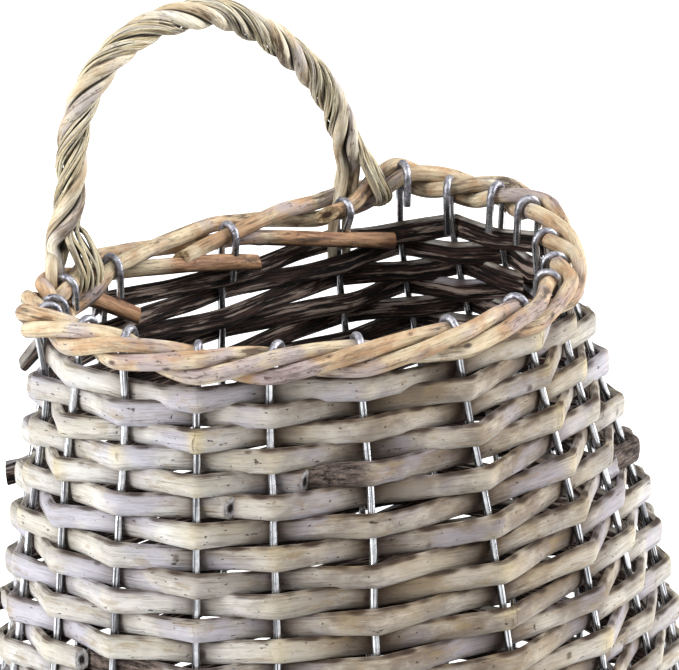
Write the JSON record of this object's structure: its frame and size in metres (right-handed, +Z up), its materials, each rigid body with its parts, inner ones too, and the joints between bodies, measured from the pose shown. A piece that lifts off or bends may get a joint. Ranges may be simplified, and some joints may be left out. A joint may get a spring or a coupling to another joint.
{
  "type": "wall basket",
  "caption": "Half-round woven willow wall basket on upright wire stakes, with a flat back, a plaited border, a swelling body, a base board and a twisted hanging handle.",
  "frame": {"origin": "middle of the part's footprint on the surface that it stands on", "axes": "+Z up, +X to the right along the wall seen from the front, +Y back towards the wall"},
  "size_m": [0.2568, 0.1648, 0.2927],
  "materials": {
    "galvanised_wire": "galvanised, softly shiny",
    "grey_washed_willow": "grey-washed outside, dark bark inside",
    "tan_willow": "peeled willow, dry and matt",
    "split_willow": "split skeins, dry and matt",
    "board_wood": "plain plywood, matt"
  },
  "bodies": {
    "root": {"base_board": "board_wood", "stake_01": "galvanised_wire", "stake_02": "galvanised_wire", "stake_03": "galvanised_wire", "stake_04": "galvanised_wire", "stake_05": "galvanised_wire", "stake_06": "galvanised_wire", "stake_07": "galvanised_wire", "stake_08": "galvanised_wire", "stake_09": "galvanised_wire", "stake_10": "galvanised_wire", "stake_11": "galvanised_wire", "stake_12": "galvanised_wire", "stake_13": "galvanised_wire", "stake_14": "galvanised_wire", "stake_15": "galvanised_wire", "stake_16": "galvanised_wire", "stake_17": "galvanised_wire", "stake_18": "galvanised_wire", "stake_19": "galvanised_wire", "stake_20": "galvanised_wire", "weaver_row_01": "grey_washed_willow", "weaver_row_02": "grey_washed_willow", "weaver_row_03": "grey_washed_willow", "weaver_row_04": "grey_washed_willow", "weaver_row_05": "grey_washed_willow", "weaver_row_06": "grey_washed_willow", "weaver_row_07": "grey_washed_willow", "weaver_row_08": "grey_washed_willow", "weaver_row_09": "grey_washed_willow", "weaver_row_10": "grey_washed_willow", "weaver_row_11": "grey_washed_willow", "weaver_row_12": "grey_washed_willow", "weaver_row_13": "grey_washed_willow", "weaver_row_14": "grey_washed_willow", "weaver_row_15": "grey_washed_willow", "weaver_row_16": "grey_washed_willow", "weaver_row_17": "grey_washed_willow", "weaver_row_18": "grey_washed_willow", "weaver_row_19": "grey_washed_willow", "weaver_row_20": "grey_washed_willow", "weaver_row_21": "grey_washed_willow", "weaver_row_22": "grey_washed_willow", "weaver_row_23": "grey_washed_willow", "weaver_row_24": "grey_washed_willow", "weaver_row_25": "grey_washed_willow", "weaver_row_26": "grey_washed_willow", "weaver_row_27": "grey_washed_willow", "weaver_row_28": "grey_washed_willow", "weaver_row_29": "grey_washed_willow", "weaver_row_30": "grey_washed_willow", "rim_rod_1": "tan_willow", "rim_rod_2": "tan_willow", "rim_rod_3": "tan_willow", "handle_rod_1": "tan_willow", "handle_rod_2": "tan_willow", "handle_skein_1": "split_willow", "handle_skein_2": "split_willow"}
  },
  "joints": []
}
